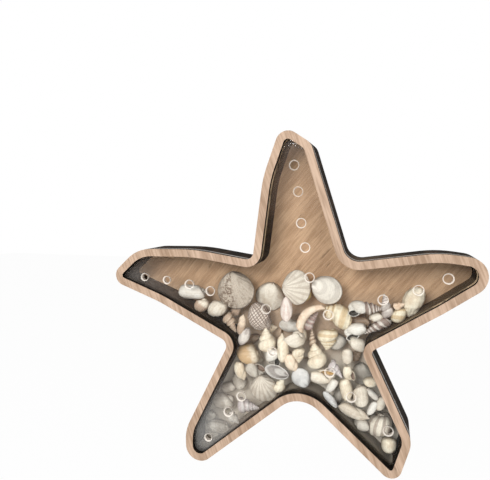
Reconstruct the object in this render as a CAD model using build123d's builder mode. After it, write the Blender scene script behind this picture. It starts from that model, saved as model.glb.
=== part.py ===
"""Starfish-shaped wall case for seashells: sheet layers, clear window, rear hatch and shells.

X runs to the right, Y into the wall and Z up. The origin is the point on the wall where the
hanger's middle tooth rests on its hook. Depths are measured from the wall towards the viewer.
"""

import os
from math import atan2, cos, pi, radians, sin

from build123d import *

# ---------- Sheets and stack ----------
face_thickness = 3.0
window_thickness = 3.0
spacer_thickness = 3.0
spacer_count = 5
back_thickness = 3.0
rim_width = 4.4

# ---------- Star ----------
# The hub is the point of the star from which every place on it is measured.
hub_x = 11.5
hub_z = -27.0
# Corners of the cavity, clockwise from the notch left of the top arm: x, z and corner radius.
cavity_corners = (
    (-28.5, 3.2, 8.5),
    (-22.0, 53.3, 60.0),
    (-13.8, 76.4, 2.5),
    (-3.7, 69.6, 3.5),
    (17.0, 3.6, 13.0),
    (66.0, 10.8, 60.0),
    (93.0, 7.2, 5.4),
    (66.0, -11.9, 80.0),
    (27.2, -36.7, 7.0),
    (50.2, -85.4, 8.0),
    (44.9, -102.8, 1.3),
    (-4.6, -58.8, 20.0),
    (-68.8, -113.3, 4.3),
    (-69.2, -96.0, 20.0),
    (-40.4, -37.9, 9.0),
    (-88.0, -14.3, 80.0),
    (-115.9, -4.0, 1.8),
    (-102.2, 8.7, 18.0),
    (-68.0, 9.2, 100.0),
)

# ---------- Window holes ----------
window_hole_diameter = 4.6
tip_hole_diameter = 3.8
hole_bevel = 0.6
window_holes = (
    (-9.5, 61.0),
    (-7.2, 46.6),
    (-5.4, 29.4),
    (-3.1, 16.0),
    (-0.5, -0.5),
    (-71.9, -7.6),
    (-58.7, -10.9),
    (-25.0, -19.5),
    (9.9, -20.7),
    (38.6, -10.8),
    (56.2, -4.8),
    (70.4, 1.8),
    (-21.4, -44.0),
    (-39.8, -72.1),
    (-47.8, -82.3),
    (11.1, -52.7),
    (22.9, -65.5),
    (42.6, -81.9),
)
tip_holes = (
    (-101.0, -4.4),
    (-86.4, -5.6),
    (-60.4, -99.5),
)

# ---------- Filler hole and its hatch ----------
filler_x = -6.0
filler_z = -38.0
filler_diameter = 28.0
hatch_overlap = 4.5
hatch_thickness = 2.0
hatch_clearance = 0.1
hatch_lug_radius = 6.0
hatch_tab_radius = 5.0
pivot_rise = 25.0
barrel_diameter = 4.0
barrel_head_diameter = 8.0
barrel_head_thickness = 1.0
pivot_fit = 0.05
screw_diameter = 2.4
screw_head_diameter = 7.0
screw_head_thickness = 1.1
screw_slot_width = 0.8
screw_slot_depth = 0.5
washer_diameter = 8.0
washer_thickness = 0.4

# ---------- Hanger and wall bumpers ----------
hanger_length = 32.0
hanger_height = 8.0
hanger_thickness = 0.8
hanger_lift = 1.4
hanger_tab_length = 6.0
hanger_bend_run = 1.5
tooth_pitch = 2.5
tooth_depth = 1.2
tooth_count = 7
nail_diameter = 1.4
nail_length = 2.4
nail_head_diameter = 3.0
nail_head_thickness = 0.6
nail_fit = 0.03
bumper_diameter = 9.0
bumper_height = 4.0
bumper_rounding = 1.2
bumper_places = (
    (-93.0, 0.5),
    (71.0, 1.0),
    (-61.0, -98.0),
    (43.0, -88.0),
)

# ---------- Shells ----------
shell_clearance = 0.4
filler_clearance = 0.95
valve_wall = 0.9
turret_whorls = 4
spire_whorls = 3
# Proportions of the shell forms, as shares of their length, half width or span.
turret_shoulder = 0.10
turret_bulge = 0.08
tusk_rise = 0.35
valve_widest = -0.04
valve_shoulder = (0.30, 0.32)
valve_dome = 0.56
# Half outlines of turned shells, from the base end to the apex. Each entry is the middle and the
# end of a curve, as shares of the length and of the half width.
turned_outlines = {
    "globe": (
        ((0.14, 0.72), (0.42, 1.00)),
        ((0.66, 0.86), (0.80, 0.45)),
        ((0.88, 0.38), (0.93, 0.20)),
        ((0.98, 0.14), (1.00, 0.00)),
    ),
    "whelk": (
        ((0.18, 0.42), (0.50, 1.00)),
        ((0.59, 0.97), (0.65, 0.70)),
        ((0.72, 0.66), (0.78, 0.46)),
        ((0.84, 0.42), (0.89, 0.24)),
        ((0.95, 0.20), (1.00, 0.00)),
    ),
    "barrel": (
        ((0.04, 0.70), (0.18, 0.96)),
        ((0.50, 1.00), (0.82, 0.96)),
        ((0.96, 0.70), (1.00, 0.00)),
    ),
    "spindle": (
        ((0.20, 0.68), (0.45, 1.00)),
        ((0.75, 0.66), (1.00, 0.00)),
    ),
    "egg": (
        ((0.14, 0.70), (0.48, 1.00)),
        ((0.86, 0.68), (1.00, 0.00)),
    ),
    "cone": (
        ((0.06, 0.72), (0.24, 1.00)),
        ((0.66, 0.60), (1.00, 0.00)),
    ),
}
# Each shell: kind, x, z, length, width, depth, turn of its apex above the X axis, and what it
# lies against: the window, the back panel or the mouth of the filler hole.
shells = {
    "weathered_cockle": ("valve", -46.0, -11.0, 22.5, 22.5, 7.5, 100, "window"),
    "bleached_barrel": ("barrel", -73.0, -13.3, 16.0, 8.0, 8.0, 0, "window"),
    "ochre_top_shell": ("globe", -66.4, -20.6, 7.5, 6.8, 6.8, 50, "window"),
    "white_moon_shell": ("globe", -57.1, -23.5, 11.0, 9.6, 9.6, 60, "window"),
    "banded_moon_shell": ("globe", -47.2, -24.1, 10.0, 6.5, 6.5, 90, "back"),
    "netted_whelk": ("whelk", -31.5, -27.0, 17.0, 13.5, 13.5, -55, "window"),
    "cream_clam": ("valve", -26.5, -15.0, 16.5, 16.5, 5.0, 75, "back"),
    "white_scallop": ("valve", -9.0, -7.5, 15.0, 18.5, 4.0, 180, "window"),
    "big_white_clam": ("valve", 7.5, -7.5, 17.0, 15.0, 4.5, 150, "window"),
    "pink_valve": ("valve", -14.5, -20.0, 13.8, 6.5, 3.0, 88, "window"),
    "white_bowl": ("valve", -14.1, -32.2, 12.5, 7.3, 3.5, 0, "filler"),
    "curved_tusk": ("tusk", -2.5, -22.0, 19.2, 6.6, 6.6, 45, "window"),
    "pink_turret": ("turret", -0.9, -27.0, 11.8, 6.8, 6.8, 50, "filler"),
    "yellow_whelk": ("whelk", 14.0, -22.5, 17.0, 12.0, 12.0, 155, "window"),
    "slit_snail": ("globe", 25.0, -17.5, 8.5, 7.5, 7.5, 180, "window"),
    "brown_turret": ("turret", 33.5, -17.1, 8.4, 6.2, 6.2, 0, "window"),
    "grey_turret": ("turret", 39.5, -15.2, 12.0, 6.2, 6.2, 100, "window"),
    "round_yellow_shell": ("globe", 46.8, -19.8, 7.0, 6.4, 6.4, 80, "window"),
    "cream_whelk": ("whelk", 54.1, -12.5, 16.5, 10.4, 10.4, -105, "window"),
    "banded_turret": ("turret", 35.1, -27.5, 15.3, 6.3, 6.3, 215, "window"),
    "holed_snail": ("globe", 24.0, -30.0, 11.0, 7.5, 7.5, 20, "window"),
    "white_knuckle": ("egg", 25.0, -37.5, 8.5, 6.0, 6.0, -15, "window"),
    "yellow_cone": ("cone", 8.5, -36.5, 11.0, 10.0, 10.0, -95, "window"),
    "round_moon_shell": ("globe", -9.5, -38.0, 10.0, 8.0, 8.0, 30, "window"),
    "wedge_cone": ("cone", -26.7, -39.3, 12.0, 9.5, 9.5, 95, "window"),
    "cream_spindle": ("spindle", -16.5, -43.0, 15.5, 6.5, 6.5, 92, "window"),
    "ochre_moon_shell": ("globe", -39.0, -49.5, 13.5, 11.0, 11.0, 10, "window"),
    "holed_white_shell": ("globe", -22.2, -48.9, 8.4, 8.0, 8.0, 80, "window"),
    "large_cream_cone": ("cone", 2.0, -46.5, 13.0, 10.5, 10.5, 100, "window"),
    "lower_spindle": ("spindle", -11.5, -51.5, 9.5, 6.0, 6.0, -65, "window"),
    "mouthed_snail": ("globe", -33.3, -57.3, 9.8, 8.2, 8.2, 150, "window"),
    "open_mussel": ("valve", -19.5, -57.0, 12.2, 6.2, 3.5, -15, "window"),
    "ochre_tipped_shell": ("globe", 6.5, -57.6, 12.0, 8.2, 8.2, 180, "window"),
    "blue_white_clam": ("valve", -5.5, -60.0, 10.0, 9.5, 3.5, -45, "window"),
    "fan_scallop": ("valve", -28.2, -68.3, 15.4, 15.6, 4.5, 100, "window"),
    "smooth_grey_shell": ("valve", 27.5, -57.5, 12.0, 10.0, 3.5, 90, "back"),
    "cream_cowrie": ("egg", 19.8, -64.5, 12.5, 6.4, 6.4, 105, "window"),
    "lower_white_barrel": ("barrel", 27.7, -66.5, 10.5, 7.5, 7.5, 95, "window"),
    "long_white_shell": ("spindle", 24.0, -76.5, 17.0, 6.5, 6.5, -20, "window"),
    "striped_moon_shell": ("globe", 38.0, -84.0, 13.5, 12.5, 12.5, 80, "window"),
    "last_beige_shell": ("egg", 43.2, -93.0, 8.0, 7.0, 7.0, 90, "window"),
    "striped_top_shell": ("turret", -37.4, -81.0, 12.0, 8.0, 8.0, -5, "window"),
    "hazy_snail": ("globe", -55.0, -81.4, 11.5, 9.0, 9.0, 10, "back"),
    "hazy_whorl": ("whelk", -59.3, -98.4, 16.2, 8.6, 8.6, 180, "back"),
    "left_turret": ("turret", -47.2, -31.1, 11.0, 6.5, 6.5, -60, "window"),
    "tan_sliver": ("spindle", -40.9, -30.8, 10.5, 4.5, 4.5, 80, "window"),
    "beige_chip": ("cone", -25.0, -34.0, 5.5, 4.5, 4.5, 10, "back"),
    "grey_half_clam": ("valve", -39.0, -37.5, 10.5, 5.5, 2.5, 60, "window"),
    "dark_half_clam": ("valve", -37.5, -42.0, 9.5, 5.0, 2.5, 30, "back"),
    "white_spiral": ("spire", -32.5, -51.5, 8.0, 5.5, 5.5, 80, "back"),
    "beige_tall_shell": ("spindle", -42.0, -59.0, 10.5, 6.0, 6.0, -70, "window"),
    "hazy_cream_shell": ("egg", -45.5, -67.5, 10.5, 7.0, 7.0, -60, "back"),
    "hazy_small_shell": ("egg", -52.6, -73.2, 9.0, 5.5, 5.5, 20, "back"),
    "hazy_pebble": ("egg", -64.4, -93.1, 6.8, 5.0, 5.0, 45, "back"),
    "white_corner_chip": ("cone", -45.8, -88.7, 7.4, 5.0, 5.0, -45, "window"),
    "small_cream_cone": ("cone", -17.0, -64.7, 8.0, 5.4, 5.4, 65, "window"),
    "beige_spire": ("spire", -1.0, -38.0, 9.5, 4.0, 4.0, 95, "filler"),
    "cream_spire": ("spindle", -6.0, -36.5, 7.0, 3.0, 3.0, 95, "filler"),
    "small_beige_cone": ("cone", -7.5, -46.6, 7.5, 6.0, 6.0, -90, "window"),
    "hazy_grey_shell": ("egg", 13.5, -39.5, 9.5, 8.0, 8.0, 60, "back"),
    "white_clump": ("egg", 20.0, -45.0, 8.5, 5.5, 5.5, 95, "window"),
    "dark_chip": ("cone", 25.0, -46.0, 6.0, 5.0, 5.0, 40, "back"),
    "striped_grey_shell": ("spire", 14.5, -53.5, 9.5, 5.5, 5.5, -50, "window"),
    "mouthed_beige_shell": ("globe", 21.0, -54.0, 7.0, 5.5, 5.5, 100, "window"),
    "pale_nub": ("egg", 32.5, -58.0, 6.0, 4.5, 4.5, 15, "window"),
    "white_bean": ("egg", 34.0, -64.5, 8.0, 3.5, 3.5, 65, "window"),
    "pale_oval": ("egg", 38.5, -69.5, 8.0, 4.5, 4.5, 70, "window"),
    "small_white_bean": ("egg", 34.0, -72.4, 6.5, 3.0, 3.0, -35, "window"),
    "round_grey_shell": ("egg", 28.6, -83.0, 7.0, 5.4, 5.4, 0, "window"),
    "white_shard": ("egg", 11.6, -62.5, 8.5, 4.0, 4.0, 60, "window"),
    "bluish_leaf": ("valve", 11.4, -70.2, 9.5, 3.8, 2.0, -45, "window"),
    "grey_wedge": ("spindle", 15.2, -69.8, 8.0, 5.0, 5.0, 80, "back"),
    "hazy_brown_shell": ("barrel", 26.0, -26.5, 10.0, 5.0, 5.0, 5, "back"),
    "pink_chip": ("cone", 47.0, -14.0, 5.0, 3.5, 3.5, 20, "window"),
    "white_pebble_shell": ("egg", 35.0, -21.6, 6.0, 3.6, 3.6, 25, "window"),
}
# Small shells that share a file with their neighbours.
shell_groups = {
    "small_shells_left": (
        "left_turret",
        "tan_sliver",
        "beige_chip",
        "grey_half_clam",
        "dark_half_clam",
        "ochre_top_shell",
        "banded_moon_shell",
    ),
    "small_shells_low_left": ("white_spiral", "beige_tall_shell", "hazy_cream_shell", "hazy_small_shell"),
    "small_shells_left_tip": ("hazy_pebble", "white_corner_chip"),
    "small_shells_middle": (
        "beige_spire",
        "cream_spire",
        "small_beige_cone",
        "hazy_grey_shell",
        "white_clump",
        "white_bowl",
        "lower_spindle",
    ),
    "small_shells_low_middle": ("dark_chip", "striped_grey_shell", "mouthed_beige_shell", "small_cream_cone"),
    "small_shells_right": (
        "hazy_brown_shell",
        "pink_chip",
        "white_pebble_shell",
        "white_knuckle",
        "round_yellow_shell",
        "brown_turret",
    ),
    "small_shells_low_right": (
        "pale_nub",
        "white_bean",
        "pale_oval",
        "small_white_bean",
        "round_grey_shell",
        "last_beige_shell",
    ),
    "small_shells_bottom": ("white_shard", "bluish_leaf", "grey_wedge"),
}

# ---------- Worked out from the sizes above ----------
panel_depth = bumper_height
panel_face_depth = panel_depth + back_thickness
window_depth = panel_face_depth + spacer_count * spacer_thickness
face_depth = window_depth + window_thickness
hatch_radius = filler_diameter / 2 + hatch_overlap
pivot_x = filler_x
pivot_z = filler_z + pivot_rise
hatch_depth = panel_depth - hatch_clearance - hatch_thickness
barrel_end_depth = hatch_depth - hatch_clearance
washer_depth = barrel_end_depth - washer_thickness


def star_plane(depth, x=0.0, z=0.0):
    """Plane parallel to the wall at a depth, with its origin at a place on the star."""
    return Plane(origin=(hub_x + x, -depth, hub_z + z), x_dir=(1, 0, 0), z_dir=(0, -1, 0))


def outline_corners(margin):
    """Corners and radii of the cavity's outline grown outwards by a margin."""
    corners = []
    radii = []
    count = len(cavity_corners)
    for index, (x, z, radius) in enumerate(cavity_corners):
        before = cavity_corners[index - 1]
        after = cavity_corners[(index + 1) % count]
        heading_in = atan2(z - before[1], x - before[0])
        heading_out = atan2(after[1] - z, after[0] - x)
        turn = (heading_out - heading_in + pi) % (2 * pi) - pi
        outward = heading_in + turn / 2 + pi / 2
        reach = margin / cos(turn / 2)
        corners.append((x + reach * cos(outward), z + reach * sin(outward)))
        grown = radius + margin if turn < 0 else radius - margin
        radii.append(max(grown, 0.0))
    return corners, radii


def star_outline(margin=0.0, mode=Mode.ADD):
    """Add the star's outline, at a margin outside the cavity, to the sketch in progress."""
    corners, radii = outline_corners(margin)
    with BuildLine() as outline:
        FilletPolyline(*corners, radius=radii, close=True)
    make_face(outline.edges(), mode=mode)


os.makedirs("parts", exist_ok=True)

# ---------- Case layers ----------

with BuildPart() as front_frame:
    with BuildSketch(star_plane(face_depth)):
        star_outline(rim_width)
        star_outline(mode=Mode.SUBTRACT)
    extrude(amount=face_thickness)
front_frame.part.label = "front_frame"
export_step(front_frame.part, "parts/front_frame.step")

with BuildPart() as window:
    with BuildSketch(star_plane(window_depth)):
        star_outline(rim_width)
    extrude(amount=window_thickness)
    window_front = star_plane(face_depth)
    with Locations(*[window_front * Location((x, z, 0)) for x, z in window_holes]):
        CounterSinkHole(
            radius=window_hole_diameter / 2,
            counter_sink_radius=window_hole_diameter / 2 + hole_bevel,
            counter_sink_angle=90,
        )
    with Locations(*[window_front * Location((x, z, 0)) for x, z in tip_holes]):
        CounterSinkHole(
            radius=tip_hole_diameter / 2,
            counter_sink_radius=tip_hole_diameter / 2 + hole_bevel,
            counter_sink_angle=90,
        )
window.part.label = "window"
export_step(window.part, "parts/window.step")

for number in range(1, spacer_count + 1):
    with BuildPart() as spacer_ring:
        with BuildSketch(star_plane(window_depth - number * spacer_thickness)):
            star_outline(rim_width)
            star_outline(mode=Mode.SUBTRACT)
        extrude(amount=spacer_thickness)
    spacer_ring.part.label = f"spacer_ring_{number}"
    export_step(spacer_ring.part, f"parts/spacer_ring_{number}.step")

nail_spacing = hanger_length - hanger_tab_length
nail_z = hanger_height / 2 - tooth_depth
with BuildPart() as back_panel:
    with BuildSketch(star_plane(panel_depth)):
        star_outline(rim_width)
        with Locations((filler_x, filler_z)):
            Circle(filler_diameter / 2, mode=Mode.SUBTRACT)
        with Locations((pivot_x, pivot_z)):
            Circle(barrel_diameter / 2 + pivot_fit, mode=Mode.SUBTRACT)
    extrude(amount=back_thickness)
    with BuildSketch(Plane(origin=(0, -panel_depth, nail_z), x_dir=(1, 0, 0), z_dir=(0, -1, 0))):
        with GridLocations(nail_spacing, 0, 2, 1):
            Circle(nail_diameter / 2 + nail_fit)
    extrude(amount=nail_length, mode=Mode.SUBTRACT)
back_panel.part.label = "back_panel"
export_step(back_panel.part, "parts/back_panel.step")

# ---------- Hatch and its binding screw ----------

with BuildPart() as hatch_cover:
    with BuildSketch(star_plane(hatch_depth)):
        with Locations((filler_x, filler_z)):
            Circle(hatch_radius)
        with Locations((pivot_x, pivot_z)):
            Circle(hatch_lug_radius)
        make_hull()
        with Locations((filler_x, filler_z - hatch_radius)):
            Circle(hatch_tab_radius)
        with Locations((pivot_x, pivot_z)):
            Circle(barrel_diameter / 2 + pivot_fit, mode=Mode.SUBTRACT)
    extrude(amount=hatch_thickness)
hatch_cover.part.label = "hatch_cover"
export_step(hatch_cover.part, "parts/hatch_cover.step")

with BuildPart() as pivot_barrel:
    with BuildSketch(star_plane(panel_face_depth, pivot_x, pivot_z)):
        Circle(barrel_head_diameter / 2)
    extrude(amount=barrel_head_thickness)
    with BuildSketch(star_plane(barrel_end_depth, pivot_x, pivot_z)):
        Circle(barrel_diameter / 2)
    extrude(amount=panel_face_depth - barrel_end_depth)
    with BuildSketch(star_plane(barrel_end_depth, pivot_x, pivot_z)):
        Circle(screw_diameter / 2 + pivot_fit)
    extrude(amount=panel_face_depth - barrel_end_depth, mode=Mode.SUBTRACT)
pivot_barrel.part.label = "pivot_barrel"
export_step(pivot_barrel.part, "parts/pivot_barrel.step")

with BuildPart() as pivot_washer:
    with BuildSketch(star_plane(washer_depth, pivot_x, pivot_z)):
        Circle(washer_diameter / 2)
        Circle(screw_diameter / 2 + pivot_fit, mode=Mode.SUBTRACT)
    extrude(amount=washer_thickness)
pivot_washer.part.label = "pivot_washer"
export_step(pivot_washer.part, "parts/pivot_washer.step")

with BuildPart() as pivot_screw:
    with BuildSketch(star_plane(washer_depth - screw_head_thickness, pivot_x, pivot_z)):
        Circle(screw_head_diameter / 2)
    extrude(amount=screw_head_thickness)
    fillet(pivot_screw.edges().sort_by(Axis.Y)[-1], radius=screw_head_thickness / 2)
    with BuildSketch(star_plane(washer_depth, pivot_x, pivot_z)):
        Circle(screw_diameter / 2)
    extrude(amount=panel_face_depth - washer_depth - hatch_clearance)
    with BuildSketch(star_plane(washer_depth - screw_head_thickness, pivot_x, pivot_z)):
        Rectangle(screw_head_diameter, screw_slot_width)
    extrude(amount=screw_slot_depth, mode=Mode.SUBTRACT)
pivot_screw.part.label = "pivot_screw"
export_step(pivot_screw.part, "parts/pivot_screw.step")

# ---------- Hanger, its nails and the wall bumpers ----------

half_length = hanger_length / 2
bend_start = half_length - hanger_tab_length
bend_end = bend_start - hanger_bend_run
tab_y = -panel_depth
raised_y = tab_y + hanger_lift
with BuildPart() as sawtooth_hanger:
    with BuildSketch(Plane.XY.offset(-tooth_depth)):
        with BuildLine():
            Polyline(
                (-half_length, tab_y),
                (-bend_start, tab_y),
                (-bend_end, raised_y),
                (bend_end, raised_y),
                (bend_start, tab_y),
                (half_length, tab_y),
                (half_length, tab_y + hanger_thickness),
                (bend_start, tab_y + hanger_thickness),
                (bend_end, raised_y + hanger_thickness),
                (-bend_end, raised_y + hanger_thickness),
                (-bend_start, tab_y + hanger_thickness),
                (-half_length, tab_y + hanger_thickness),
                close=True,
            )
        make_face()
    extrude(amount=hanger_height)
    with BuildSketch(Plane(origin=(0, 0, -tooth_depth), x_dir=(1, 0, 0), z_dir=(0, -1, 0))):
        with GridLocations(tooth_pitch, 0, tooth_count, 1):
            with BuildLine():
                Polyline((-tooth_pitch / 2, 0), (0, tooth_depth), (tooth_pitch / 2, 0), close=True)
            make_face()
    extrude(amount=panel_depth, mode=Mode.SUBTRACT)
    with BuildSketch(Plane(origin=(0, -panel_depth, nail_z), x_dir=(1, 0, 0), z_dir=(0, 1, 0))):
        with GridLocations(nail_spacing, 0, 2, 1):
            Circle(nail_diameter / 2 + nail_fit)
    extrude(amount=hanger_thickness, mode=Mode.SUBTRACT)
sawtooth_hanger.part.label = "sawtooth_hanger"
export_step(sawtooth_hanger.part, "parts/sawtooth_hanger.step")

with BuildPart() as hanger_nails:
    nail_seat = Plane(origin=(0, hanger_thickness - panel_depth, nail_z), x_dir=(1, 0, 0), z_dir=(0, 1, 0))
    with BuildSketch(nail_seat):
        with GridLocations(nail_spacing, 0, 2, 1):
            Circle(nail_head_diameter / 2)
    extrude(amount=nail_head_thickness)
    with BuildSketch(nail_seat):
        with GridLocations(nail_spacing, 0, 2, 1):
            Circle(nail_diameter / 2)
    extrude(amount=-nail_length)
hanger_nails.part.label = "hanger_nails"
export_step(hanger_nails.part, "parts/hanger_nails.step")

with BuildPart() as wall_bumpers:
    with BuildSketch(star_plane(0.0)):
        with Locations(*bumper_places):
            Circle(bumper_diameter / 2)
    extrude(amount=bumper_height)
    fillet(wall_bumpers.edges().group_by(Axis.Y)[-1], radius=bumper_rounding)
wall_bumpers.part.label = "wall_bumpers"
export_step(wall_bumpers.part, "parts/wall_bumpers.step")

# ---------- Shells ----------


def shell_plane(x, z, depth, turn, seat):
    """Plane through a shell's middle, its X axis towards the apex and its normal to the viewer."""
    if seat == "window":
        middle = window_depth - shell_clearance - depth / 2
    elif seat == "filler":
        middle = panel_face_depth + filler_clearance + depth / 2
    else:
        middle = panel_face_depth + shell_clearance + depth / 2
    apex = (cos(radians(turn)), 0, sin(radians(turn)))
    return Plane(origin=(hub_x + x, -middle, hub_z + z), x_dir=apex, z_dir=(0, -1, 0))


def turret_outline(whorls):
    """Half outline of a tall shell, one bulging curve for each whorl."""
    outline = [((turret_shoulder / 3, 2 / 3), (turret_shoulder, 1 - turret_shoulder))]
    whorl_step = (1 - turret_shoulder) / whorls
    for whorl in range(whorls):
        middle = turret_shoulder + (whorl + 0.5) * whorl_step
        end = turret_shoulder + (whorl + 1) * whorl_step
        outline.append(((middle, 1 - middle + turret_bulge), (end, max(1 - end, 0.0))))
    return outline


def make_turned_shell(plane, length, width, outline):
    """A snail shell turned about its own axis, one curve for each entry of its half outline."""
    with BuildPart() as turned:
        with BuildSketch(plane):
            with BuildLine():
                base = (-length / 2, 0)
                start = base
                for middle, end in outline:
                    middle_x = (middle[0] - 0.5) * length
                    middle_y = middle[1] * width / 2
                    end_x = (end[0] - 0.5) * length
                    end_y = end[1] * width / 2
                    pull = (2 * middle_x - (start[0] + end_x) / 2, 2 * middle_y - (start[1] + end_y) / 2)
                    Bezier(start, pull, (end_x, end_y))
                    start = (end_x, end_y)
                Line(start, base)
            make_face()
        revolve(axis=Axis(plane.origin, plane.x_dir))
    return turned.part


def make_tusk(plane, length, width):
    """A bent tusk: a round bar along an arc, with round ends."""
    span = length - width
    rise = tusk_rise * span
    with BuildPart() as tusk:
        with BuildLine(plane) as route:
            ThreePointArc((-span / 2, -rise / 2), (0, rise / 2), (span / 2, -rise / 2))
        with BuildSketch(Plane(origin=route.line @ 0, z_dir=route.line % 0)):
            Circle(width / 2)
        sweep(path=route.line)
        with Locations(route.line @ 0, route.line @ 1):
            Sphere(width / 2)
    return tusk.part


def valve_dome_solid(base, length, width, depth, inset):
    """Half of an ellipsoid that rises from a plane, inset from a valve's dome."""
    reach = (valve_dome * length - inset, valve_dome * width - inset, depth - inset)
    return base.location * scale(Sphere(1.0), by=reach)


def make_valve(plane, length, width, depth):
    """One valve of a clam or scallop: a fan outline on a thin dome, its beak towards the apex."""
    base = plane.offset(-depth / 2)
    side_x = valve_widest * length
    shoulder_x = valve_shoulder[0] * length
    shoulder_y = valve_shoulder[1] * width
    dome = valve_dome_solid(base, length, width, depth, 0.0)
    hollow = valve_dome_solid(base, length, width, depth, valve_wall)
    with BuildPart() as valve:
        with BuildSketch(base):
            with BuildLine():
                ThreePointArc((length / 2, 0), (shoulder_x, shoulder_y), (side_x, width / 2))
                ThreePointArc((side_x, width / 2), (-length / 2, 0), (side_x, -width / 2))
                ThreePointArc((side_x, -width / 2), (shoulder_x, -shoulder_y), (length / 2, 0))
            make_face()
        extrude(amount=depth)
        add(dome, mode=Mode.INTERSECT)
        add(hollow, mode=Mode.SUBTRACT)
    return valve.part


solids = {}
for name, (kind, x, z, length, width, depth, turn, seat) in shells.items():
    plane = shell_plane(x, z, depth, turn, seat)
    if kind == "valve":
        shell = make_valve(plane, length, width, depth)
    elif kind == "tusk":
        shell = make_tusk(plane, length, width)
    elif kind == "turret":
        shell = make_turned_shell(plane, length, width, turret_outline(turret_whorls))
    elif kind == "spire":
        shell = make_turned_shell(plane, length, width, turret_outline(spire_whorls))
    else:
        shell = make_turned_shell(plane, length, width, turned_outlines[kind])
    shell.label = name
    solids[name] = shell

grouped = set()
for group_name, members in shell_groups.items():
    group = Compound(label=group_name, children=[solids[member] for member in members])
    export_step(group, f"parts/{group_name}.step")
    grouped.update(members)
for name, shell in solids.items():
    if name not in grouped:
        export_step(shell, f"parts/{name}.step")
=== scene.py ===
"""Dresses the seashell display case: veneered star case, clear window and the shells behind it.

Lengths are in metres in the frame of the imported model: X right, Y into the wall and Z up. Shell
sizes are written in millimetres and turned into metres where they are used. A band is a pair of
values between which a mask rises smoothly from 0 to 1.
"""

from __future__ import annotations

import logging
import math
from dataclasses import dataclass, field
from enum import Enum
from typing import Callable

import bpy
import numpy as np
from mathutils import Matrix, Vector


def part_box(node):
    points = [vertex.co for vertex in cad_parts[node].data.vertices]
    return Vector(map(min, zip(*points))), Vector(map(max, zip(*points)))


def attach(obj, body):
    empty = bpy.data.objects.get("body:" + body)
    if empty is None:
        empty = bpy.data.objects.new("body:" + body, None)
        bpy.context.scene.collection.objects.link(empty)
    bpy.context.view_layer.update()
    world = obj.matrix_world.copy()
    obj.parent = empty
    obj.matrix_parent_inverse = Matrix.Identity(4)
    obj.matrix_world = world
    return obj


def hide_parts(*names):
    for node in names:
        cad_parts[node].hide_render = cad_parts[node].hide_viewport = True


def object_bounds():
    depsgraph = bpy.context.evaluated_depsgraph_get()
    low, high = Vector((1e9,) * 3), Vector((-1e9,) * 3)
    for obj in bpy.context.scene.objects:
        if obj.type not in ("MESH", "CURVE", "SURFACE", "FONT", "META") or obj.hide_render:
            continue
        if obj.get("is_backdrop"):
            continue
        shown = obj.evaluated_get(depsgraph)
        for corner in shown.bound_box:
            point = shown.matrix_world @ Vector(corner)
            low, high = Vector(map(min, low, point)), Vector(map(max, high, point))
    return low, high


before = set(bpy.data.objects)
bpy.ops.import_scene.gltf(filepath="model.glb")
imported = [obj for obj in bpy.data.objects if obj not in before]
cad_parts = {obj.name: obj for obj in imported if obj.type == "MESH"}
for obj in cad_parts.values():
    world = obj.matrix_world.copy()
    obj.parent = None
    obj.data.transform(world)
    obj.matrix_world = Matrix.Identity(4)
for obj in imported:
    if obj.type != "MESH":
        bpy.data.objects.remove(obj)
LOG = logging.getLogger("seashell_case")
MM = 0.001
Triple = tuple[float, float, float]
Colour = Triple
Band = tuple[float, float]
Form = Callable[[np.ndarray, np.ndarray], np.ndarray]
WHITE: Colour = (1.0, 1.0, 1.0)


class Pattern(Enum):
    """How a shell's second colour lies on it."""

    MOTTLED = "mottled"
    ROUND_BANDS = "round_bands"
    LONG_STRIPES = "long_stripes"
    NET = "net"
    PITTED = "pitted"


class Kind(Enum):
    """The forms that the shells have."""

    SNAIL = "snail"
    VALVE = "valve"
    TUSK = "tusk"


# ---------- Shader tools ----------


def dimmed(colour: Colour, share: float) -> Colour:
    """A colour at a share of its light."""
    return tuple(share * part for part in colour)


class Wire:
    """A shader socket that takes part in arithmetic."""

    def __init__(self, bench: NodeBench, socket: bpy.types.NodeSocket) -> None:
        """Keep the socket and the bench that it is on."""
        self.bench = bench
        self.socket = socket

    def __add__(self, other: Wire | float) -> Wire:
        """Sum."""
        return self.bench.maths("ADD", self, other)

    def __sub__(self, other: Wire | float) -> Wire:
        """Difference."""
        return self.bench.maths("SUBTRACT", self, other)

    def __rsub__(self, other: float) -> Wire:
        """Difference from a number."""
        return self.bench.maths("SUBTRACT", other, self)

    def __mul__(self, other: Wire | float) -> Wire:
        """Product."""
        return self.bench.maths("MULTIPLY", self, other)

    __radd__ = __add__
    __rmul__ = __mul__


Value = Wire | float | int | tuple


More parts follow.
